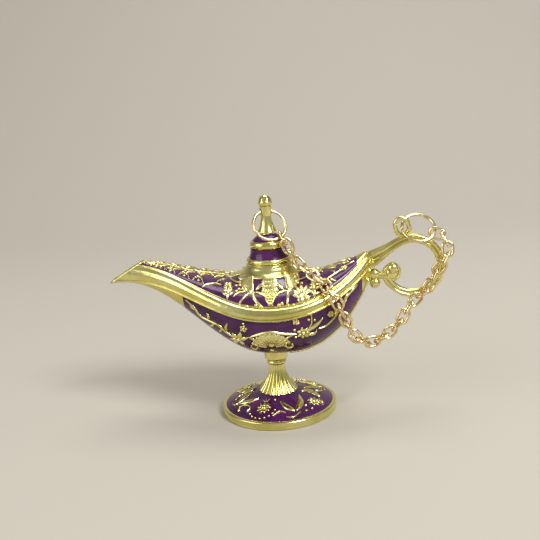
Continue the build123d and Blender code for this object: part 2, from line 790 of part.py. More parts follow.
# Split rings in the finial's eye and in the handle's eyelet
lean = math.radians(finial_ring_lean)
forward = Vector(0, -1, 0).rotate(Axis.Z, lid_turn)
finial_ring_frame = ring_frame(eye_point, forward * math.sin(lean) - Vector(0, 0, math.cos(lean)), eye_way)
ring_down = Vector(1, 0, 0).rotate(Axis.Y, handle_ring_drop)
ring_across = Vector(0, -1, 0).rotate(Axis((0, 0, 0), ring_down), -handle_ring_tilt)
handle_ring_frame = ring_frame(eyelet_frame.origin, ring_down, ring_across)
finial_ring_place = ("finial_ring", finial_ring_frame, finial_ring_split)
handle_ring_place = ("handle_ring", handle_ring_frame, handle_ring_split)
for name, frame, split_at in (finial_ring_place, handle_ring_place):
    with BuildPart() as split_ring:
        add(ring_solid(frame, split_at))
    split_ring.part.label = name
    export_step(split_ring.part, f"parts/{name}.step")

# Chain: from the handle's ring down past the handle, over the rim and the cover to the finial's ring
link_pitch = link_length - 2 * link_wire - link_gap
chain_room = link_width / 2 + chain_clear
handle_hook = hook_point(handle_ring_frame, handle_hook_angle)
finial_hook = hook_point(finial_ring_frame, finial_hook_angle)
beside = -(handle_crown_radius + chain_room)
shoulder = [loop_centre + Vector(x, beside * share, z) for x, z, share in beside_loop]
rim_side = -(half_width(rim_cross) + band_ridge + chain_room)
rim_low = Vector(rim_cross + rim_lead, rim_side + band_lap, seam_z(rim_cross) - band_lap)
rim_high = Vector(rim_cross, rim_side, band_top_z(rim_cross))
deck = [Vector(x, y, deck_z(x, y) + chain_room) for x, y in over_deck]
lid_levels = (neck_top - lid_ring_height, lid_band_base, lid_torus_base + lid_torus_height / 2)
lid_side = [polar(radius, angle, z) for (radius, angle), z in zip(round_lid, lid_levels)]


def chain_route(sag):
    """Points that the chain follows, with its free stretch hung by a sag below its two ends."""
    start, end = shoulder[-1], rim_low
    hang = [start + (end - start) * share - Vector(0, 0, sag * depth) for share, depth in hang_shape]
    return [handle_hook, *shoulder, *hang, rim_low, rim_high, *deck, *lid_side, finial_hook]


def hang_chain(least, most):
    """The sag, found by halving, at which a whole number of links reaches the finial's ring."""
    for _ in range(chain_halvings):
        sag = (least + most) / 2
        hinges, reached = chain_steps(chain_route(sag), link_pitch)
        least, most = (sag, most) if reached < link_count else (least, sag)
    return sag, hinges[:link_count] + [finial_hook]


sag, hinges = hang_chain(handle_loop_radius / 2, 3 * handle_loop_radius)
print("chain sag", round(sag, 2), "links", link_count, "pitch", round(link_pitch, 2))
link = oval_solid(link_length, link_width, link_wire)
for number, (near, far) in enumerate(zip(hinges, hinges[1:]), start=1):
    run_way = (far - near).normalized()
    normal = (facing - run_way * facing.dot(run_way)).normalized()
    if number % 2 == 0:
        normal = run_way.cross(normal)
    with BuildPart() as chain_link:
        with Locations(Plane(origin=(near + far) / 2, x_dir=run_way, z_dir=normal)):
            add(link)
    chain_link.part.label = f"chain_link_{number:02d}"
    export_step(chain_link.part, f"parts/chain_link_{number:02d}.step")
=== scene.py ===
# %% [markdown]
# # A small genie lamp, dressed on its frame
# The castings, the lid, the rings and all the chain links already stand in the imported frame, so this
# lesson only adds what the eye reads as craft: gold plate, poured enamel and the raised gold ornament.

# %% Load the frame
import json
import math
import bpy
import numpy as np
from mathutils import Matrix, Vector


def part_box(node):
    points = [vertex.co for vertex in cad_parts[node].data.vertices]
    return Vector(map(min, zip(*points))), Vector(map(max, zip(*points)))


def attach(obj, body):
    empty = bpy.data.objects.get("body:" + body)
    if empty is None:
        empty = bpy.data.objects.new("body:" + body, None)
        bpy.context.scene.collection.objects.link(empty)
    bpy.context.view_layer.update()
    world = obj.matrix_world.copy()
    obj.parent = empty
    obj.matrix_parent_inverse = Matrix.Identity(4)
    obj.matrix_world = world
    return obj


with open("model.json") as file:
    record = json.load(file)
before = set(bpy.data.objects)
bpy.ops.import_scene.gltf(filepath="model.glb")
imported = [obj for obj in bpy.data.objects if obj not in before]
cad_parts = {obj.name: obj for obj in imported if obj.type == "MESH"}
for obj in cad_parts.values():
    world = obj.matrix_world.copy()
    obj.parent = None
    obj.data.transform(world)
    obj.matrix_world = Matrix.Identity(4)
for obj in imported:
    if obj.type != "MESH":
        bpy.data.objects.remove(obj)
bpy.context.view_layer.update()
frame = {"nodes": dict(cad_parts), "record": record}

mm = 0.001

# %% [markdown]
# ## Colours and nodes
# Shader colours are linear light, while a colour given as a hex value is sRGB, so one function turns a hex
# value into linear numbers. One more small function adds a shader node with its settings and links,
# which keeps each material down to the few lines that describe its surface.


# %% Colour and node helpers
def linear(hex_colour):
    """An sRGB hex colour as linear RGBA: each channel c becomes ((c + 0.055) / 1.055) to the power 2.4,
    or c / 12.92 close to black."""
    srgb = np.array([int(hex_colour[i:i + 2], 16) for i in (1, 3, 5)]) / 255
    channels = np.where(srgb <= 0.04045, srgb / 12.92, ((srgb + 0.055) / 1.055) ** 2.4)
    return (*channels.tolist(), 1.0)


def add_node(tree, kind, settings=None, values=None, links=None):
    """Adds one node, sets its properties and socket values, and links its inputs from other outputs."""
    node = tree.nodes.new(kind)
    for name, value in (settings or {}).items():
        setattr(node, name, value)
    for socket, value in (values or {}).items():
        node.inputs[socket].default_value = value
    for socket, source in (links or {}).items():
        tree.links.new(source, node.inputs[socket])
    return node


def start_material(name):
    """A new material as its parts: itself, its node tree, its Principled shader and Object coordinates."""
    material = bpy.data.materials.new(name)
    material.use_nodes = True
    tree = material.node_tree
    place = tree.nodes.new("ShaderNodeTexCoord").outputs["Object"]
    return material, tree, tree.nodes["Principled BSDF"], place


def per_metre(size_mm):
    """Texture scale for features of a size in millimetres: one cell of noise per size, in metres."""
    return 1 / (size_mm * mm)


print("middle grey in linear light:", round(linear("#808080")[0], 3))

# %% [markdown]
# ## Gold plate on a zinc casting
# The body is a die casting, polished in a tumbler and plated with a pale, slightly green gold. Tumbling
# leaves a soft ripple about a millimetre wide and a fine grain in the gloss, and the plate looks deeper
# where it is thick. A picture of worn metal could give all that, but noise with sizes in millimetres
# needs no picture and keeps its size on every piece.

# %% Gold materials
drift_mm, grit_mm = 6.0, 0.5
deep_below, pale_above = 0.35, 0.62
smooth_below, rough_above = 0.3, 0.7


def gold_plate(name, pale, deep, smooth, rough, ripple_mm, ripple_height_mm):
    """Metal whose colour drifts with slow noise and whose roughness follows fine noise, over a ripple."""
    material, tree, shader, place = start_material(name)
    drift = add_node(
        tree, "ShaderNodeTexNoise", {}, {"Scale": per_metre(drift_mm), "Detail": 3.0}, {"Vector": place}
    )
    tint = add_node(tree, "ShaderNodeValToRGB", {}, {}, {"Fac": drift.outputs["Fac"]})
    tint.color_ramp.elements[0].position = deep_below
    tint.color_ramp.elements[0].color = linear(deep)
    tint.color_ramp.elements[1].position = pale_above
    tint.color_ramp.elements[1].color = linear(pale)
    grit = add_node(
        tree, "ShaderNodeTexNoise", {}, {"Scale": per_metre(grit_mm), "Detail": 4.0}, {"Vector": place}
    )
    gloss = add_node(
        tree, "ShaderNodeMapRange", {},
        {"From Min": smooth_below, "From Max": rough_above, "To Min": smooth, "To Max": rough},
        {"Value": grit.outputs["Fac"]},
    )
    ripple = add_node(
        tree, "ShaderNodeTexNoise", {}, {"Scale": per_metre(ripple_mm), "Detail": 2.0}, {"Vector": place}
    )
    bump = add_node(
        tree, "ShaderNodeBump", {}, {"Strength": 1.0, "Distance": ripple_height_mm * mm},
        {"Height": ripple.outputs["Fac"]},
    )
    shader.inputs["Metallic"].default_value = 1.0
    tree.links.new(tint.outputs["Color"], shader.inputs["Base Color"])
    tree.links.new(gloss.outputs["Result"], shader.inputs["Roughness"])
    tree.links.new(bump.outputs["Normal"], shader.inputs["Normal"])
    return material


cast_gold = gold_plate(
    "gold_plated_zinc_die_cast_tumbled", pale="#ede69e", deep="#d6ca76",
    smooth=0.15, rough=0.26, ripple_mm=1.4, ripple_height_mm=0.03,
)
relief_gold = gold_plate(
    "gold_plated_zinc_die_cast_relief", pale="#f3ebaa", deep="#dccd80",
    smooth=0.16, rough=0.30, ripple_mm=0.6, ripple_height_mm=0.03,
)
wire_gold = gold_plate(
    "gold_plated_wire_drawn", pale="#f3e2b4", deep="#dcc48c",
    smooth=0.14, rough=0.24, ripple_mm=0.8, ripple_height_mm=0.015,
)
print("gold materials:", cast_gold.name, relief_gold.name, wire_gold.name)

# %% [markdown]
# ## Purple enamel and plain steel
# The enamel is a coloured resin that was poured into recesses and left to level itself. It is glossy
# and deep, a little darker where it lies thick, and never quite flat. A see-through resin could be built
# with real depth, but at this size a clouded colour under a thin clear coat looks the same. The screw
# inside the bowl is plain turned steel, with its fine rings drawn coarser than a lathe leaves them.

# %% Enamel and steel materials
cloud_mm, level_mm, level_height_mm = 4.0, 2.2, 0.05
enamel_surface = {
    "Roughness": 0.2, "IOR": 1.5, "Specular IOR Level": 0.35, "Coat Weight": 0.12, "Coat Roughness": 0.08,
}
wave_unit_mm = 1.2


def poured_enamel(name, light, dark):
    """Dyed resin: a clouded purple under a clear skin, with a faint unevenness from levelling."""
    material, tree, shader, place = start_material(name)
    cloud = add_node(
        tree, "ShaderNodeTexNoise", {}, {"Scale": per_metre(cloud_mm), "Detail": 3.0}, {"Vector": place}
    )
    depth = add_node(tree, "ShaderNodeValToRGB", {}, {}, {"Fac": cloud.outputs["Fac"]})
    depth.color_ramp.elements[0].position = 0.3
    depth.color_ramp.elements[0].color = linear(dark)
    depth.color_ramp.elements[1].position = 0.7
    depth.color_ramp.elements[1].color = linear(light)
    sag = add_node(
        tree, "ShaderNodeTexNoise", {}, {"Scale": per_metre(level_mm), "Detail": 1.0}, {"Vector": place}
    )
    bump = add_node(
        tree, "ShaderNodeBump", {}, {"Strength": 1.0, "Distance": level_height_mm * mm},
        {"Height": sag.outputs["Fac"]},
    )
    for socket, value in enamel_surface.items():
        shader.inputs[socket].default_value = value
    tree.links.new(depth.outputs["Color"], shader.inputs["Base Color"])
    tree.links.new(bump.outputs["Normal"], shader.inputs["Normal"])
    return material


def turned_steel(name):
    """Steel with turning rings about the lamp's axis. A wave texture repeats every pi / 10 of its unit,
    so the rings are about 0.38 mm apart."""
    material, tree, shader, place = start_material(name)
    rings = add_node(
        tree, "ShaderNodeTexWave", {"wave_type": "RINGS", "rings_direction": "Z"},
        {"Scale": per_metre(wave_unit_mm), "Distortion": 0.5}, {"Vector": place},
    )
    gloss = add_node(
        tree, "ShaderNodeMapRange", {}, {"To Min": 0.25, "To Max": 0.4}, {"Value": rings.outputs["Fac"]}
    )
    shader.inputs["Metallic"].default_value = 1.0
    shader.inputs["Base Color"].default_value = linear("#b9bbbd")
    tree.links.new(gloss.outputs["Result"], shader.inputs["Roughness"])
    return material


enamel = poured_enamel("purple_cold_enamel_poured", light="#531f58", dark="#36113c")
steel = turned_steel("steel_screw_turned")
print("other materials:", enamel.name, steel.name)

# %% Finishes on the frame's nodes
finishes = {
    "gold_plated_casting": cast_gold,
    "gold_plated_wire": wire_gold,
    "purple_enamel": enamel,
    "steel_fastener": steel,
}
slots = {row["node"]: row["material_slot"] for row in frame["record"]["subparts"]}
for name, piece in frame["nodes"].items():
    piece.data.materials.clear()
    piece.data.materials.append(finishes[slots[name]])
print("finishes on nodes:", len(frame["nodes"]))

# %% [markdown]
# ## The skins that carry the ornament
# The raised ornament was cut into the same mould as the body, so it follows the body's curves exactly.
# It could be pressed onto the meshes with a Shrinkwrap modifier. Here each curved face is a function that
# turns two flat coordinates into points in space, with the curves that the castings were drawn with and
# sizes from the frame, because a formula gives clean normals too.

# %% Body sizes
bowl_low, bowl_high = (np.array(corner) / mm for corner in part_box("bowl"))
foot_high = np.array(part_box("foot_enamel")[1]) / mm
tail_cut = 0.6
spout_reach, tail_reach = -bowl_low[0], bowl_high[0] + tail_cut
body_half_width, spout_half_width = bowl_high[1], 2.3
spout_taper, tail_fullness = 2.8, 0.85
bowl_base, bowl_depth = bowl_low[2], 12.2
seam_base = bowl_base + bowl_depth
keel_spout_rise, keel_spout_start, keel_spout_sweep = 20.5, 2.1, 3.1
keel_tail_rise, keel_tail_sweep = 20.0, 2.95
rim_spout_sweep, rim_tail_sweep = 3, 2.5
seam_spout_rise, seam_tail_rise = 9.2, 9.8
band_height, band_inset = 2.8, 1.0
band_spout_rise, band_tail_rise = 10.6, 10.5
deck_rise, deck_edge_rise = 4.6, 0.4
deck_spout_taper, deck_tail_fullness = 5.2, 0.9
foot_seat_radius, foot_rim_height, foot_bulge = 4.2, 2.1, 0.3
end_stop, edge_stop = 0.999, 0.9995
print("body from", -spout_reach.round(2), "to", tail_reach.round(2), "seam at", seam_base.round(2))


# %% Body curves
def along(x):
    """Share of the way from the middle of the body to its spout end or its tail end."""
    return np.clip(np.where(x < 0, -x / spout_reach, x / tail_reach), 0, end_stop)


def half_width(x):
    """Half width at the seam: the end's own, plus what the middle has more times a power of one minus
    the share squared."""
    fullness = 1 - along(x) ** 2
    spout = spout_half_width + (body_half_width - spout_half_width) * fullness**spout_taper
    return np.where(x < 0, spout, body_half_width * fullness**tail_fullness)


def keel_z(x):
    """Height of the bowl's lowest line: it rises by a power of the share towards the tail, and by a soft
    step that levels out again towards the spout."""
    u = along(x)
    spout = keel_spout_rise * (1 - (1 - u**keel_spout_start) ** keel_spout_sweep)
    return bowl_base + np.where(x < 0, spout, keel_tail_rise * u**keel_tail_sweep)


def lift_share(x):
    """Share of its end's rise that the seam or the rim has reached, by the same two kinds of curve."""
    u = along(x)
    return np.where(x < 0, 1 - (1 - u**2) ** rim_spout_sweep, u**rim_tail_sweep)


def seam_z(x):
    """Height of the seam below the rim band: its height in the middle plus a share of its end's rise."""
    return seam_base + np.where(x < 0, seam_spout_rise, seam_tail_rise) * lift_share(x)


def rim_z(x):
    """Height of the rim band's upper edge, where the deck starts: as the seam, from a band's height up."""
    return seam_base + band_height + np.where(x < 0, band_spout_rise, band_tail_rise) * lift_share(x)


def deck_half(x):
    """Half width of the deck inside the rim band: the seam's half width less the band's inset."""
    return half_width(x) - band_inset


print("keel and seam at the tail:", keel_z(tail_reach).round(2), seam_z(tail_reach).round(2))


# %% Skins
def bowl_skin(flat):
    """Front of the bowl over (x, z): an ellipse at each x, hung from the seam down to the keel."""
    x, z = flat[..., 0], flat[..., 1]
    drop = np.clip((seam_z(x) - z) / (seam_z(x) - keel_z(x)), 0, edge_stop)
    return np.stack([x, -half_width(x) * np.sqrt(1 - drop**2), z], axis=-1)


def deck_skin(flat):
    """Top of the cover over (x, y): half an ellipse at each x that stands on the band's upper edge."""
    x, y = flat[..., 0], flat[..., 1]
    power = np.where(x < 0, deck_spout_taper, deck_tail_fullness)
    rise = deck_edge_rise + deck_rise * (1 - along(x) ** 2) ** power
    across = np.clip(y / deck_half(x), -edge_stop, edge_stop)
    return np.stack([x, y, rim_z(x) + rise * np.sqrt(1 - across**2)], axis=-1)


def foot_skin(flat):
    """Top of the foot over (x, y): a cone from the stem's seat to the rim plus a parabola for its bulge."""
    x, y = flat[..., 0], flat[..., 1]
    share = np.clip((np.hypot(x, y) - foot_seat_radius) / (foot_high[0] - foot_seat_radius), 0, 1)
    height = foot_high[2] + (foot_rim_height - foot_high[2]) * share + foot_bulge * 4 * share * (1 - share)
    return np.stack([x, y, height], axis=-1)


middle = np.array([[0.0, seam_base], [0.0, bowl_base + 2]])
print("bowl skin at the middle:", bowl_skin(middle).round(2).tolist())

# %% [markdown]
# ## Tubes, balls and turned shapes
# Every new piece is a closed tube of some kind: rings of points along a line, joined by four-sided faces.
# A ball is a tube whose rings shrink at both ends, and a turned shape is one whose rings go round an
# axis. Blender's own primitives would do for a ball, but one rule for all pieces keeps every face
# pointing outwards.


# %% Tubes
def unit(vectors):
    """Vectors divided by their length."""
    return vectors / np.linalg.norm(vectors, axis=-1, keepdims=True)


def close_tube(grid, loop=False):
    """Points and faces of a tube given as rings of points. A loop joins its last ring to its first, and
    any other tube gets a flat cap at each end."""
    rings, sides = grid.shape[:2]
    index = np.arange(rings * sides).reshape(rings, sides)
    after = np.roll(index, -1, axis=1)
    quads = np.stack([index, after, np.roll(after, -1, axis=0), np.roll(index, -1, axis=0)], axis=-1)
    if loop:
        return grid.reshape(-1, 3), quads.reshape(-1, 4).tolist()
    caps = [index[0, ::-1].tolist(), index[-1].tolist()]
    return grid.reshape(-1, 3), quads[:-1].reshape(-1, 4).tolist() + caps


def rod(path, across_way, side_radius, across_radius, swell=1.0, sides=16, loop=False):
    """A tube along points in space. Each ring is an ellipse between a fixed across way and the side way,
    which is the cross product of the across way and the path's direction, and swell scales the ring."""
    path, across = np.asarray(path, float), np.array(across_way, float)
    ahead = np.roll(path, -1, axis=0) - np.roll(path, 1, axis=0) if loop else np.gradient(path, axis=0)
    side = unit(np.cross(across, unit(ahead)))
    turn = np.linspace(0, 2 * np.pi, sides, endpoint=False)[:, None]
    ring = side[:, None] * (side_radius * np.cos(turn)) + across * (across_radius * np.sin(turn))
    return close_tube(path[:, None] + (np.ones(len(path)) * swell)[:, None, None] * ring, loop)


def ball(centre, radius, thickness, rings=15, sides=20, pole=1.5):
    """An ellipsoid, thinner along Y: rings as wide as the root of one minus the height share squared.
    The rings stop at the angle pole, just short of a quarter turn."""
    share = np.sin(np.linspace(-pole, pole, rings))
    path = np.array(centre) + radius * share[:, None] * (0, 0, 1)
    return rod(path, (0, 1, 0), radius, thickness, np.sqrt(1 - share**2), sides)


def turned(profile, sides=72, lobes=0, lobe_depth=0.0, loop=False):
    """A profile of (radius, height) turned about Z, its radius waved by a cosine with that many lobes."""
    turn = np.linspace(0, 2 * np.pi, sides, endpoint=False)
    radius = profile[:, :1] * (1 + lobe_depth * np.cos(lobes * turn))
    height = profile[:, 1:] * np.ones(sides)
    return close_tube(np.stack([radius * np.cos(turn), radius * np.sin(turn), height], axis=-1), loop)


def mirrored(marks):
    """Twins of closed marks across the XZ plane, with their faces turned round to point outwards."""
    return [(points * (1, -1, 1), [face[::-1] for face in faces]) for points, faces in marks]


print("faces of a ball:", len(ball((0, 0, 0), 1.0, 1.0)[1]))


# %% Pieces
def build_piece(name, marks, material, body="lamp"):
    """Joins closed marks, in millimetres, into one smooth-shaded mesh in metres that rides on a body."""
    starts = np.cumsum([0] + [len(points) for points, _ in marks])
    faces = [[start + i for i in face] for start, (_, own) in zip(starts.tolist(), marks) for face in own]
    mesh = bpy.data.meshes.new(name)
    mesh.from_pydata((np.vstack([points for points, _ in marks]) * mm).tolist(), [], faces)
    mesh.polygons.foreach_set("use_smooth", np.ones(len(faces), bool))
    mesh.materials.append(material)
    piece = bpy.data.objects.new(name, mesh)
    bpy.context.scene.collection.objects.link(piece)
    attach(piece, body)
    print(name, "marks", len(marks), "faces", len(faces))


# %% [markdown]
# ## Strokes and beads
# An engraver builds such ornament from two marks: a stroke that swells and tapers, and a bead. A leaf
# is a wide stroke with a vein, a petal is a short one, a tendril a thin one. They could be sculpted, but
# marks computed on a skin can be moved by a number. Each is closed below the skin, so that it looks cast
# on and never floats.

# %% Marks on a skin
sole = 0.22
tip_gap, pole_gap = 0.02, 0.12
vein_spread = 0.3
any_way = np.array([[0.3, 0.9, 0.2]])


def smooth_path(points, count):
    """A smooth line through points: cubic spans whose slope at a point is half the step between its
    neighbours."""
    p = np.asarray(points, float)
    p = np.vstack([2 * p[0] - p[1], p, 2 * p[-1] - p[-2]])
    t = np.linspace(0, len(p) - 3 - 1e-6, count)
    i = t.astype(int)
    u = (t - i)[:, None]
    a, b, c, d = p[i], p[i + 1], p[i + 2], p[i + 3]
    return b + 0.5 * u * (c - a + u * (2 * a - 5 * b + 4 * c - d + u * (3 * (b - c) + d - a)))


def skin_frame(skin, flat, step=0.02):
    """Points on a skin with outward normals, each the cross product of two small steps on the skin."""
    here = skin(flat)
    return here, unit(np.cross(skin(flat + (step, 0)) - here, skin(flat + (0, step)) - here))


def stroke(skin, points, width, height, vein=0.0, blunt=0.6, lean=1.0, steps=26, sides=12, depth=sole):
    """A closed raised stroke along a smooth line on a skin. Its section is half an ellipse on a sole sunk
    to a depth, its size follows the sine of the share run (to the power lean) raised to blunt, and
    a vein takes a bell-shaped notch out of the crown."""
    share = np.linspace(tip_gap, 1 - tip_gap, steps)
    here, normal = skin_frame(skin, smooth_path(points, steps))
    side = unit(np.cross(normal, unit(np.gradient(here, axis=0))))
    swell = np.sin(np.pi * share**lean) ** blunt
    turn = np.linspace(0, 2 * np.pi, sides, endpoint=False)
    across, up = np.cos(turn), np.sin(turn)
    crown = height * up * (1 - vein * np.exp(-((across / vein_spread) ** 2)))
    lift = np.where(up > 0, crown, depth * up)
    sideways = 0.5 * width * swell[:, None] * across
    points_3d = here[:, None] + side[:, None] * sideways[..., None]
    points_3d = points_3d + normal[:, None] * (np.sqrt(swell)[:, None] * lift)[..., None]
    return close_tube(points_3d)


def bead(skin, centre, radius, height, rings=7, sides=12, depth=sole):
    """A closed dome on a skin: half an ellipsoid above it and a shallow one below."""
    here, normal = skin_frame(skin, np.asarray([centre], float))
    first = unit(np.cross(normal, any_way))
    second = np.cross(normal, first)
    tilt = np.linspace(pole_gap, np.pi - pole_gap, rings)[:, None]
    turn = np.linspace(0, 2 * np.pi, sides, endpoint=False)[None]
    out = radius * np.sin(tilt)[..., None]
    rise = -np.cos(tilt) * np.where(np.cos(tilt) > 0, depth, height)
    flat = first * np.cos(turn)[..., None] + second * np.sin(turn)[..., None]
    return close_tube(here + out * flat + normal * (rise * np.ones_like(turn))[..., None])


print("points of a bead:", len(bead(foot_skin, (8.0, 0.0), 0.5, 0.4)[0]))

# %% [markdown]
# ## Motifs
# Old lamp ornament keeps to a few motifs: a flower with petals round a bead, a leaf with its vein, a
# spray of leaves from one point, and a fan of ribs. Each is a short function of strokes and beads, so a
# panel below is only a list of what grows where.


# %% Motif functions
def ray_point(centre, angle, reach):
    """The point at an angle in degrees and a distance from a centre, in flat coordinates."""
    turn = math.radians(angle)
    return (centre[0] + reach * math.cos(turn), centre[1] + reach * math.sin(turn))


def leaf(skin, points, width, height=0.5):
    """A single leaf with a faint vein, widest below its middle."""
    return stroke(skin, points, width, height, vein=0.12, blunt=0.85, lean=0.8)


def vine(skin, points, width=0.5, height=0.4):
    """A tendril of nearly even width."""
    return stroke(skin, points, width, height, blunt=0.25, steps=40)


def spray(skin, centre, angles, reach, width, height=0.45, vein=0.35, start=0.15):
    """Leaves round one centre at the given angles, each from a share of the reach out to all of it."""
    lines = [[ray_point(centre, angle, share * reach) for share in (start, 1)] for angle in angles]
    return [stroke(skin, line, width, height, vein, blunt=0.8, lean=0.8) for line in lines]


def flower(skin, centre, reach, petals=6, height=0.4):
    """Petals at even angles round a bead; all petals side by side are 2.6 reaches and a little more."""
    angles = [360 * k / petals for k in range(petals)]
    petal_width = 2.6 * reach / petals + 0.25
    return spray(skin, centre, angles, reach, petal_width, height, vein=0.3, start=0.3) + [
        bead(skin, centre, 0.34 * reach, 1.3 * height)
    ]


def fan(skin, base, reach, angles, width):
    """Ribs that spread from a base, with a bead on each tip."""
    lines = [[ray_point(base, angle, share * reach) for share in (0.25, 0.93)] for angle in angles]
    ribs = [stroke(skin, line, width, 0.5, blunt=0.45, lean=1.6) for line in lines]
    return ribs + [bead(skin, ray_point(base, angle, reach), 0.42 * width, 0.4) for angle in angles]


print("marks in a flower:", len(flower(foot_skin, (8.0, 0.0), 1.5)))

# %% [markdown]
# ## Ornament on the bowl
# Each side of the bowl has a fan of ribs in the middle between two scrolls, a vine that runs out under
# the spout, and flowers and leaves towards the handle. A flat gold strip follows the keel up to the tail.
# Places are in (x, z), as seen from the front, chosen as an engraver would, and the back gets the
# mirror image. A height map could raise the same marks, but separate closed marks keep crisp edges.

# %% Fan and scrolls of the bowl
fan_base, fan_reach, fan_angles = (-0.2, 20.2), 4.6, range(160, 15, -14)
fan_plate = [(-4.5, 22.0), (-0.2, 22.7), (4.1, 22.1)]
fan_arch = [(-5.3, 23.8), (-3.7, 24.4), (-0.2, 25.3), (3.3, 24.5), (6.4, 24.1)]
left_scroll = [(-5.4, 23.9), (-3.9, 23.0), (-3.2, 21.4), (-4.0, 19.9), (-5.1, 20.3), (-5.0, 21.2)]
right_scroll = [(5.7, 24.2), (3.8, 23.2), (3.1, 21.5), (3.9, 20.1), (5.0, 20.5), (4.9, 21.3)]
bowl_marks = fan(bowl_skin, fan_base, fan_reach, fan_angles, 1.25)
bowl_marks += [stroke(bowl_skin, fan_plate, 4.6, 0.28, blunt=0.55)]
bowl_marks += [vine(bowl_skin, fan_arch, 0.8, 0.5)]
bowl_marks += [vine(bowl_skin, scroll, 0.65, 0.5) for scroll in (left_scroll, right_scroll)]
bowl_marks += [bead(bowl_skin, (0, 21.4), 0.7, 0.7), bead(bowl_skin, (-0.1, 19.3), 0.55, 0.5)]
print("marks in the bowl's middle:", len(bowl_marks))

# %% Vine under the spout
spout_vine = [
    (-21.0, 32.8), (-18.8, 31.0), (-17.6, 28.8), (-15.0, 27.5), (-12.8, 26.6), (-11.0, 24.7), (-8.6, 23.0),
]
spout_leaves = (
    (0.8, [(-18.4, 30.3), (-19.4, 30.9), (-20.0, 32.0)]),
    (0.8, [(-15.6, 28.0), (-15.2, 28.9), (-15.6, 29.8)]),
    (0.8, [(-14.0, 27.0), (-14.6, 26.2), (-15.6, 26.0)]),
    (0.8, [(-12.0, 25.9), (-12.4, 25.0), (-13.2, 24.6)]),
    (0.9, [(-10.9, 25.2), (-10.9, 26.4), (-10.4, 27.5)]),
)
spout_flower = (-8.0, 22.8)
bowl_marks += [vine(bowl_skin, spout_vine, 0.65, 0.45)]
bowl_marks += [leaf(bowl_skin, points, width) for width, points in spout_leaves]
bowl_marks += spray(bowl_skin, spout_flower, (20, 75, 130, 185, 225, 300), 2.5, 1.2, 0.55)
bowl_marks += [bead(bowl_skin, spout_flower, 0.6, 0.7)]
bowl_marks += flower(bowl_skin, (-6.5, 26.2), 1.0, 5)
bowl_marks += [bead(bowl_skin, (-6.4, 27.6), 0.35, 0.4)]
print("with the spout's side:", len(bowl_marks))

# %% Flowers towards the handle, and the keel's strip
tail_leaves = (
    (1.1, [(8.6, 24.5), (10.3, 25.3), (11.7, 26.3), (12.9, 27.4)]),
    (1.0, [(8.8, 23.4), (10.2, 23.4), (11.2, 24.2)]),
    (1.0, [(18.2, 30.2), (18.9, 31.6), (20.3, 32.4)]),
    (0.9, [(19.6, 32.0), (20.6, 33.0), (21.8, 33.8)]),
    (0.8, [(15.8, 27.0), (16.0, 28.2), (15.6, 29.2)]),
)
tail_vine = [(11.6, 24.6), (13.4, 25.0), (15.4, 26.6), (17.2, 28.8), (18.8, 30.6)]
berry_places = ((10.0, 28.8), (9.4, 27.5), (10.8, 27.2), (5.9, 25.3), (6.0, 23.2), (6.9, 27.0), (5.6, 28.4))
bowl_marks += flower(bowl_skin, (7.9, 24.1), 1.7, 7, 0.5)
bowl_marks += flower(bowl_skin, (6.3, 27.4), 0.9, 5) + flower(bowl_skin, (14.8, 27.9), 0.9, 6)
bowl_marks += [leaf(bowl_skin, points, width) for width, points in tail_leaves]
bowl_marks += [vine(bowl_skin, [(9.2, 25.0), (10.0, 26.6), (10.1, 28.6)], 0.4), vine(bowl_skin, tail_vine)]
bowl_marks += [bead(bowl_skin, place, 0.4, 0.45) for place in berry_places]
strip_share, strip_width, strip_height = 0.9, 1.5, 0.32
strip_x = np.linspace(4.0, 25.0, 9)
strip_z = seam_z(strip_x) - strip_share * (seam_z(strip_x) - keel_z(strip_x))
keel_strip = np.stack([strip_x, strip_z], axis=-1)
bowl_marks += [stroke(bowl_skin, keel_strip, strip_width, strip_height, blunt=0.2, steps=60)]
build_piece("bowl_relief", bowl_marks + mirrored(bowl_marks), relief_gold)

# %% [markdown]
# ## Ornament on the cover
# Six gold drapes hang from the neck over the enamel. Between the front pair hangs a bunch of berries
# in a frame of drop-shaped loops, with a palmette and a tall acanthus leaf to its right and one more such
# leaf to its left. Leaf pairs on a middle stem run out to the spout and to the handle. Places are in
# (x, y), seen from above. The deck's own skin is too flat beside the neck, so the drapes and their
# neighbours lie on a second skin that bends up to it.

# %% Cover skin and motifs
lid_ring_height, skirt_drop = 1.3, 2.6
neck_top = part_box("lid_band_enamel")[0][2] / mm - lid_ring_height
skirt_radius, skirt_edge = 8.1, neck_top - skirt_drop
drape_end, drape_bend = 10.3, 1.4
drape_width, drape_height, deep_sole = 4.6, 0.42, 0.5
palmette_angles = (20, 45, 68, 90, 112, 135, 160)
palmette_reaches = (2.2, 3.0, 3.6, 3.9, 3.6, 3.0, 2.2)
lobe_pairs, lobe_step, lobe_reach, lobe_loss, lobe_turns = 5, 1.05, 1.75, 0.18, (62, -58)


def cover_skin(flat):
    """The deck bent up to the neck's skirt: a share of the height between the two, which grows from none
    at the drapes' end to all of it at the skirt's edge."""
    here = deck_skin(flat)
    spread = np.hypot(flat[..., 0], flat[..., 1])
    share = np.clip((drape_end - spread) / (drape_end - skirt_radius), 0, 1) ** drape_bend
    return here + (share * np.clip(skirt_edge - here[..., 2], 0, None))[..., None] * (0, 0, 1)


def drape(points):
    """A petal that hangs from the neck's skirt: widest near its root and drawn out to a tip."""
    return stroke(
        cover_skin, points, drape_width, drape_height,
        vein=0.12, blunt=0.75, lean=0.46, steps=32, sides=14, depth=deep_sole,
    )


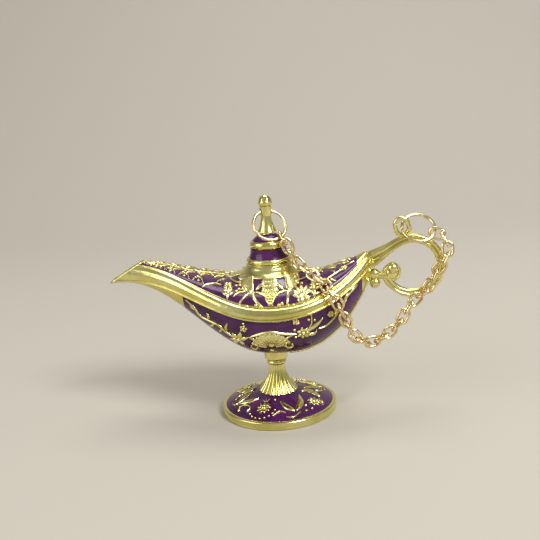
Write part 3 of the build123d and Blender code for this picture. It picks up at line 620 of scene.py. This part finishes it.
def palmette(base):
    """Leaf fingers from a base, longest towards the deck's middle line, with a bead on the base."""
    marks = []
    for angle, reach in zip(palmette_angles, palmette_reaches):
        finger = [ray_point(base, angle, start) for start in (0.3, reach)]
        marks.append(stroke(cover_skin, finger, 1.05, 0.55, vein=0.3, blunt=0.5, lean=1.3))
    return marks + [bead(cover_skin, base, 1.1, 0.55)]


def acanthus(way):
    """A tall leaf: a stem with pairs of lobes that shorten towards its tip. The number way is negative on
    the spout's side, and its size scales the leaf's distance from the middle and the lobes' spread."""
    marks = [leaf(cover_skin, [(10.0 * way, -11.0), (9.9 * way, -8.6), (10.4 * way, -5.6)], 1.2)]
    for k in range(lobe_pairs):
        root = ((9.9 + 0.08 * k) * way, -10.4 + lobe_step * k)
        tips = [ray_point(root, 90 - way * turn, lobe_reach - lobe_loss * k) for turn in lobe_turns]
        marks += [leaf(cover_skin, [root, tip], 0.85, 0.42) for tip in tips]
    return marks


print("marks in a palmette:", len(palmette((8.0, -11.6))), "and in an acanthus leaf:", len(acanthus(1.0)))

# %% Berries and drapes of the cover
bunch_rows = (3, 4, 5, 6, 5, 4, 3, 2)
bunch_middle, bunch_top, berry_step, row_step = 0.4, -8.0, 0.7, 0.6
bunch = [
    (bunch_middle + berry_step * (k - (count - 1) / 2), bunch_top - row_step * row)
    for row, count in enumerate(bunch_rows)
    for k in range(count)
]
bunch_bed = [(bunch_middle, y) for y in (-7.0, -8.6, -10.6, -12.8)]
cover_front = [bead(cover_skin, place, 0.45, 0.55, depth=deep_sole) for place in bunch]
cover_front += [stroke(cover_skin, bunch_bed, 3.9, 0.3, blunt=0.5, lean=0.8)]
cover_front += [leaf(cover_skin, [(1.7, -8.6), (2.9, -9.0), (3.8, -9.4)], 1.1)]
cover_front += [leaf(cover_skin, [(-1.0, -8.6), (-2.2, -9.0), (-3.1, -9.4)], 1.1)]
cover_front += [drape([(-4.8, -4.4), (-5.5, -6.2), (-4.9, -8.3), (-3.8, -10.4)])]
cover_front += [drape([(4.8, -4.4), (5.7, -6.0), (5.4, -8.0), (4.6, -10.0)])]
print("berries:", len(bunch))

# %% Loops, beads and tall leaves of the cover
loop_vines = (
    (0.9, 0.5, [(-3.8, -9.4), (-3.6, -11.2), (-2.6, -12.4), (-1.2, -12.9)]),
    (0.7, 0.5, [(-3.7, -9.8), (-2.2, -10.1), (-0.7, -11.2), (0.0, -12.7)]),
    (0.9, 0.5, [(4.6, -9.2), (4.7, -10.8), (4.6, -12.7)]),
    (0.7, 0.5, [(4.5, -9.6), (2.9, -10.2), (1.6, -11.4), (0.9, -12.8)]),
    (0.7, 0.45, [(-4.6, -10.0), (-6.0, -11.2), (-7.3, -12.2)]),
    (0.5, 0.4, [(-8.6, -10.8), (-7.4, -9.9), (-5.9, -9.6)]),
)
edge_beads = (
    (0.5, -12.6), (3.3, -12.5), (2.5, -12.7), (-3.0, -12.6), (-1.9, -12.8), (-5.2, -12.5), (6.0, -12.4),
)
comb_beads = ((-7.3, -8.4), (-6.5, -8.5), (-6.0, -9.3), (-7.8, -9.2), (-7.0, -9.6))
cover_front += [vine(cover_skin, points, width, height) for width, height, points in loop_vines]
cover_front += [bead(cover_skin, place, 0.5, 0.45) for place in edge_beads]
cover_front += [bead(cover_skin, place, 0.42, 0.5) for place in comb_beads]
cover_front += palmette((8.0, -11.6)) + acanthus(1.12) + acanthus(-1.0)
for way in (-1, 1):
    side_vine = [(6.6 * way, -6.4), (8.0 * way, -5.4), (9.4 * way, -3.8), (10.2 * way, -1.8)]
    cover_front += [vine(cover_skin, side_vine, 0.6)]
    cover_front += [bead(cover_skin, (x * way, -6.8), 0.38, 0.35) for x in (7.2, 8.1)]
print("marks beside the neck on one half of the deck:", len(cover_front))

# %% Cover relief towards the spout
arc_start, arc_step, arc_run, arc_share = -16.2, 3.7, 2.8, 0.86
pair_start, pair_step, pair_reach, pair_share = -11.6, 3.5, 2.6, 0.6
cover_front += [vine(cover_skin, [(-16.4, -8.2), (-15.2, -7.2), (-13.4, -6.6), (-11.8, -7.0)])]
cover_front += [vine(cover_skin, [(-13.2, -6.6), (-12.6, -4.6), (-11.0, -3.4)], 0.45)]
for k in range(4):
    x = arc_start - arc_step * k
    edge = arc_share * deck_half(x)
    next_edge = arc_share * deck_half(x - arc_run)
    arc = [(x, -edge), (x - 0.9, -0.62 * edge), (x - 2.1, -0.66 * next_edge), (x - arc_run, -next_edge)]
    cover_front += [vine(cover_skin, arc, 0.45)]
    cover_front += [bead(cover_skin, (x - arc_run / 2, -0.78 * edge), 0.36, 0.35)]
for k in range(6):
    x = pair_start - pair_step * k
    reach = min(pair_reach, pair_share * deck_half(x - 2.4))
    half_pair = [(x, -0.2), (x - 1.3, -0.45 * reach), (x - 2.5, -reach)]
    cover_front += [leaf(cover_skin, half_pair, 1.25 - 0.08 * k)]
    cover_front += [bead(cover_skin, (x - 3.0, -0.45 * reach), 0.4, 0.4)]
print("with the spout's end:", len(cover_front))

# %% Cover relief towards the handle, and the ridge
tail_pair_start, tail_pair_step = 11.2, 3.3
for k in range(3):
    x = tail_pair_start + tail_pair_step * k
    cover_front += [leaf(cover_skin, [(x, -0.2), (x + 1.2, -1.0), (x + 2.3, -2.3 + 0.3 * k)], 1.15)]
small_leaves = (
    (0.8, [(15.0, -6.2), (15.6, -7.2), (16.6, -7.4)]),
    (0.8, [(16.2, -5.3), (16.2, -4.0), (15.4, -3.2)]),
    (0.7, [(19.4, -3.0), (20.4, -2.6), (21.4, -2.4)]),
)
cover_front += [vine(cover_skin, [(13.4, -7.4), (15.0, -6.2), (17.0, -4.9), (18.6, -3.8)], 0.45, 0.3)]
cover_front += flower(cover_skin, (18.6, -3.8), 1.1)
cover_front += [leaf(cover_skin, points, width, 0.3) for width, points in small_leaves]
build_piece("cover_relief", cover_front + mirrored(cover_front), relief_gold)

spout_stem = [(-9.0, 0.0), (-15.0, 0.5), (-21.0, -0.4), (-27.0, 0.3), (-32.5, 0.0)]
tail_stem = [(9.0, 0.0), (14.0, 0.4), (20.5, 0.0)]
ridge_marks = [vine(cover_skin, stem, 0.6) for stem in (spout_stem, tail_stem)]
ridge_marks += [drape([(x * way, 0.0) for x in (6.2, 8.0, 9.6, 11.6)]) for way in (-1, 1)]
build_piece("cover_ridge_relief", ridge_marks, relief_gold)

# %% [markdown]
# ## Skirt, windows, bud and lip
# Turned and rolled edges finish the castings: a skirt flares out under the lid and carries the drapes, a
# round bud with shallow lobes tops the finial, and a lip runs round the spout's mouth. The windows between
# the drapes are enamel. Skirt and bud are profiles turned about the axis, the windows are one collar that
# lies a hair below the drapes' skin, and the lip is a closed tube round the mouth's outline. Screw
# modifiers could turn the profiles too, but a computed ring closes without a seam.

# %% Skirt and windows
skirt_profile = np.array([
    (7.2, -5.0), (7.5, -3.2), (8.0, -2.75), (skirt_radius, -2.55), (7.9, -2.35), (7.3, -2.0),
    (6.6, -1.5), (6.1, -0.95), (5.78, -0.2), (5.3, -0.2), (5.3, -5.0),
])
skirt = turned(skirt_profile + (0, neck_top), sides=120, loop=True)
build_piece("neck_skirt", [skirt], cast_gold)

collar_out, collar_in, collar_rings, collar_sides = drape_end + 0.2, 7.3, 16, 144
collar_sink, collar_out_depth, collar_in_depth = 0.12, 0.5, 1.5
collar_top = np.linspace(collar_out, collar_in, collar_rings)
collar_radius = np.concatenate([[collar_out], collar_top, [collar_in]])[:, None]
collar_depth = [collar_out_depth] + [collar_sink] * collar_rings + [collar_in_depth]
collar_turn = np.linspace(0, 2 * np.pi, collar_sides, endpoint=False)
collar_flat = np.stack([collar_radius * np.cos(collar_turn), collar_radius * np.sin(collar_turn)], axis=-1)
collar = cover_skin(collar_flat) - np.array(collar_depth)[:, None, None] * (0, 0, 1)
build_piece("neck_window_enamel", [close_tube(collar, loop=True)], enamel)

# %% Bud of the finial
bud_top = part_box("finial")[1][2] / mm
bud_height, bud_radius, bud_point = 3.1, 1.55, 0.12
bud_share = np.sin(np.linspace(-1.4, 1.5, 21))
bud_z = bud_top - bud_height * (1 - bud_share) / 2
bud_spread = bud_radius * np.sqrt(1 - bud_share**2) * (1 - bud_point * bud_share)
bud = turned(np.stack([bud_spread, bud_z], axis=-1), sides=60, lobes=6, lobe_depth=0.05)
build_piece("finial_bud", [bud], cast_gold, body="lid_and_finial")

# %% Lip of the spout
mouth_tilt = math.radians(30)
mouth_start, mouth_end, mouth_crown = -spout_reach + 0.5, -32.9, 0.45
lip_inset, lip_radius, lip_thickness = 0.3, 0.5, 0.35
mouth_x = mouth_start + (mouth_end - mouth_start) * (1 - np.cos(np.linspace(0, np.pi, 40))) / 2
mouth_z = keel_z(-spout_reach) + math.tan(mouth_tilt) * (mouth_x + spout_reach)
low_drop = np.clip((seam_z(mouth_x) - mouth_z) / (seam_z(mouth_x) - keel_z(mouth_x)), 0, 1)
band_share = np.clip((mouth_z - seam_z(mouth_x)) / (rim_z(mouth_x) - seam_z(mouth_x)), 0, 1)
top_share = np.clip((mouth_z - rim_z(mouth_x)) / mouth_crown, 0, 1)
mouth_half = half_width(mouth_x) * np.sqrt(1 - low_drop**2) - band_inset * band_share
mouth_half = (mouth_half - lip_inset) * np.sqrt(1 - top_share**2)
near_side = np.stack([mouth_x, -np.clip(mouth_half, 0, None), mouth_z], axis=-1)
lip_path = np.vstack([near_side, (near_side * (1, -1, 1))[-2:0:-1]])
lip_normal = (-math.sin(mouth_tilt), 0, math.cos(mouth_tilt))
lip = rod(lip_path, lip_normal, lip_radius, lip_thickness, sides=12, loop=True)
build_piece("spout_lip", [lip], cast_gold)

# %% [markdown]
# ## Ribs, balls and scroll of the handle
# The handle leaves the tail as two ribs, one above the other, that run together into the loop's round
# rod. Its lower end rolls into a scroll, and two balls join the scroll to the tail, where the rim band's
# two sides meet in a rounded end. Each rib is a tube beside the root's middle line that thins with the
# root. The balls and the scroll's eye are ellipsoids, and a ring round the eye gives the scroll its
# rolled edge. A curve with a round bevel could make the ribs, but their section is oval.

# %% Ribs of the handle's root
root_start, root_way, root_run = np.array([25.4, 0.0, 38.64]), np.array([0.87, 0.0, 0.49]), 8.19
root_normal = np.cross(root_way, (0, 1, 0))
handle_root_radius, handle_crown_radius = 1.9, 1.15
rib_offset, rib_side, rib_across, rib_fade = 0.62, 0.5, 1.06, 1.12
root_share = np.linspace(-0.06, 1.0, 30)[:, None]
root_radius = handle_root_radius + (handle_crown_radius - handle_root_radius) * root_share
root_line = root_start + root_run * root_share * root_way
rib_swell = (root_radius * np.sqrt(np.clip(rib_fade - root_share, 0, 1))).ravel()
handle_marks = []
for way in (-1, 1):
    rib_line = root_line + way * rib_offset * root_radius * root_normal
    handle_marks.append(rod(rib_line, (0, 1, 0), rib_side, rib_across, rib_swell))
print("upper rib from", rib_line[0].round(2).tolist(), "to", rib_line[-1].round(2).tolist())

# %% Balls, scroll and tail end
upper_ball, lower_ball, scroll_eye = (26.3, 0.0, 34.9), (26.4, 0.0, 32.6), (30.69, 0.0, 34.77)
handle_marks += [ball(upper_ball, 1.45, 1.4), ball(lower_ball, 1.4, 1.4), ball(scroll_eye, 1.9, 1.3)]
scroll_middle, scroll_length, scroll_height = (30.85, 0.0, 35.2), 3.7, 3.9
scroll_turn = np.linspace(0, 2 * np.pi, 48, endpoint=False)
scroll_x, scroll_z = scroll_length / 2 * np.cos(scroll_turn), scroll_height / 2 * np.sin(scroll_turn)
scroll_edge = scroll_middle + np.stack([scroll_x, np.zeros_like(scroll_turn), scroll_z], axis=-1)
handle_marks += [rod(scroll_edge, (0, 1, 0), 0.45, 0.95, loop=True)]
tail_edge = smooth_path([(23.6, 0.0, 40.3), (25.0, -0.9, 40.2), (25.7, -1.3, 38.4), (25.2, -1.2, 36.6)], 24)
tail_swell = np.sin(np.pi * np.linspace(0.04, 0.96, 24)) ** 0.4
tail_end = [rod(tail_edge, (0.94, -0.34, 0.0), 0.5, 0.5, tail_swell, sides=12)]
handle_marks += tail_end + mirrored(tail_end)
build_piece("handle_relief", handle_marks, cast_gold)

# %% [markdown]
# ## Ornament on the foot
# Single flowers and pairs of leaves are scattered over the foot's enamel, with a beaded arc in front.
# The same set is turned half way round for the far side, which is how such a foot repeats. An Array
# modifier could turn it too, but turned points keep the ornament one plain mesh.

# %% Foot relief
foot_leaves = (
    (1.3, [(-10.6, -4.6), (-8.8, -2.6), (-6.6, -0.6)]),
    (1.5, [(-10.4, -4.7), (-7.4, -5.4), (-4.8, -5.0)]),
    (1.4, [(-10.8, 2.6), (-9.4, 1.6), (-7.6, 1.4)]),
    (1.7, [(4.5, -10.6), (2.4, -9.4), (0.6, -7.2)]),
    (1.8, [(4.9, -10.4), (5.9, -7.2), (5.4, -3.8)]),
    (1.1, [(6.0, -2.0), (7.6, -0.6), (9.2, 0.2)]),
)
foot_vines = (
    (0.35, [(-10.6, -4.6), (-11.4, -4.8), (-12.0, -3.8)]),
    (0.4, [(-10.0, -7.6), (-9.8, -6.6), (-8.2, -6.6), (-6.9, -8.2), (-7.8, -9.4)]),
    (0.45, [(2.4, -12.8), (4.2, -12.6), (5.9, -10.7)]),
    (0.4, [(-1.0, -12.4), (0.7, -11.0), (2.2, -11.4)]),
    (0.4, [(9.6, 0.4), (10.6, 0.8), (11.4, 2.0)]),
)
loose_beads = ((-0.6, -6.6), (7.4, -9.8), (7.2, -8.0), (8.8, -8.6))
arc_middle, arc_radius = (-3.7, -9.3), 3.4
arc_beads = [ray_point(arc_middle, angle, arc_radius) for angle in range(200, 341, 20)]
half_turn = (-1, -1, 1)
foot_marks = [leaf(foot_skin, points, width) for width, points in foot_leaves]
foot_marks += [vine(foot_skin, points, width) for width, points in foot_vines]
foot_marks += flower(foot_skin, (-3.4, -9.3), 1.9, 9, 0.5) + flower(foot_skin, (9.3, -5.6), 1.7, 8, 0.5)
foot_marks += spray(foot_skin, (-2.8, -7.4), (60, 95, 130), 1.9, 0.4, 0.3, vein=0.0)
foot_marks += spray(foot_skin, (10.4, -5.0), (-40, 0, 40, 75), 1.6, 0.4, 0.3, vein=0.3)
foot_marks += [bead(foot_skin, place, 0.32, 0.4) for place in arc_beads]
foot_marks += [bead(foot_skin, place, 0.32, 0.35) for place in loose_beads]
foot_marks += [bead(foot_skin, (-10.0, -7.8), 0.45, 0.4)]
far_marks = [(points * half_turn, faces) for points, faces in foot_marks]
build_piece("foot_relief", foot_marks + far_marks, relief_gold)

# %% [markdown]
# ## Floor and light
# The lamp stands on a plain beige sweep: a floor that bends up into a wall behind, so that no horizon
# cuts the picture. Its middle tone gives the gold something darker than the lights to mirror. The main
# soft light from the upper right gives the bright stripes on the stem and the lid, a larger and weaker one
# fills from the left, and a third, high and a little behind, draws the rim.

# %% Stage
floor_front, flat_end, bend_radius, wall_top, side_reach = -2.0, 0.25, 0.45, 2.0, 2.5
bend = np.linspace(0, np.pi / 2, 25)
run_y = np.concatenate([[floor_front], flat_end + bend_radius * np.sin(bend), [flat_end + bend_radius]])
run_z = np.concatenate([[0.0], bend_radius * (1 - np.cos(bend)), [wall_top]])
sweep_points = np.stack(np.broadcast_arrays([[-side_reach], [side_reach]], run_y, run_z), axis=-1)
steps = np.arange(len(run_y) - 1)
sweep_faces = np.stack([steps, steps + len(run_y), steps + len(run_y) + 1, steps + 1], axis=-1)
sweep_mesh = bpy.data.meshes.new("floor_sweep")
sweep_mesh.from_pydata(sweep_points.reshape(-1, 3).tolist(), [], sweep_faces.tolist())
sweep_mesh.polygons.foreach_set("use_smooth", np.ones(len(sweep_faces), bool))
sweep = bpy.data.objects.new("floor_sweep", sweep_mesh)
bpy.context.scene.collection.objects.link(sweep)
floor_paper, _, floor_shader, _ = start_material("pale_matte_paper_sweep")
floor_shader.inputs["Base Color"].default_value = linear("#b9b2a6")
floor_shader.inputs["Roughness"].default_value = 0.9
sweep_mesh.materials.append(floor_paper)
print("sweep points:", len(sweep_mesh.vertices))

# %% World
world = bpy.data.worlds.new("studio")
bpy.context.scene.world = world
world.use_nodes = True
world_light = world.node_tree.nodes["Background"]
world_light.inputs["Color"].default_value = linear("#d6d6d4")
world_light.inputs["Strength"].default_value = 0.55
print("world strength:", round(world_light.inputs["Strength"].default_value, 2))


# %% Lights
def stand(thing, right, up, back, place):
    """Adds an object to the scene with its three axes and its place, in metres, as its matrix."""
    bpy.context.scene.collection.objects.link(thing)
    thing.matrix_world = Matrix(np.stack([right, up, back, place], axis=1).tolist() + [[0, 0, 0, 1]])


def soft_light(name, place, aim, size, power):
    """A square area light at a place in metres that faces an aim point."""
    data = bpy.data.lights.new(name, "AREA")
    data.size = size
    data.energy = power
    back = unit(np.array(place, float) - np.array(aim, float))
    right = unit(np.cross((0, 0, 1), back))
    stand(bpy.data.objects.new(name, data), right, np.cross(back, right), back, place)


lamp_middle = (0, 0, 0.03)
soft_light("key_light", (0.44, -0.44, 0.62), lamp_middle, size=0.30, power=6.0)
soft_light("fill_light", (-0.70, -0.40, 0.42), lamp_middle, size=0.60, power=2.6)
soft_light("rim_light", (0.10, 0.22, 0.80), lamp_middle, size=0.40, power=2.6)

# %% [markdown]
# ## Camera
# The camera stands where the photograph was taken: a little to the handle's side, above the lamp and
# tilted, at a distance that gives the same perspective. It could be aimed at the lamp by a constraint,
# but its place and turn are written as real sizes and angles here, so that they can be checked.

# %% Camera
camera_distance, camera_height = 189.4, 82.0
camera_side, camera_pitch, camera_roll = (math.radians(angle) for angle in (4.5, 13.24, -4.2))
focal_pixels, image_pixels, sensor_mm = 762.9, 540, 36.0
toward = np.array([-math.sin(camera_side), math.cos(camera_side), 0])
level = np.array([math.cos(camera_side), math.sin(camera_side), 0])
forward = math.cos(camera_pitch) * toward - math.sin(camera_pitch) * np.array([0, 0, 1])
upright = np.cross(level, forward)
right = math.cos(camera_roll) * level + math.sin(camera_roll) * upright
up = math.cos(camera_roll) * upright - math.sin(camera_roll) * level
camera_place = np.array([0, 0, camera_height]) - camera_distance * toward
camera_data = bpy.data.cameras.new("camera")
camera_data.sensor_width = sensor_mm
camera_data.lens = sensor_mm * focal_pixels / image_pixels
camera_data.clip_start = mm
camera = bpy.data.objects.new("camera", camera_data)
stand(camera, right, up, -forward, camera_place * mm)
bpy.context.scene.camera = camera
bpy.context.scene.view_settings.view_transform = "Standard"
print("lens", round(camera_data.lens, 2))
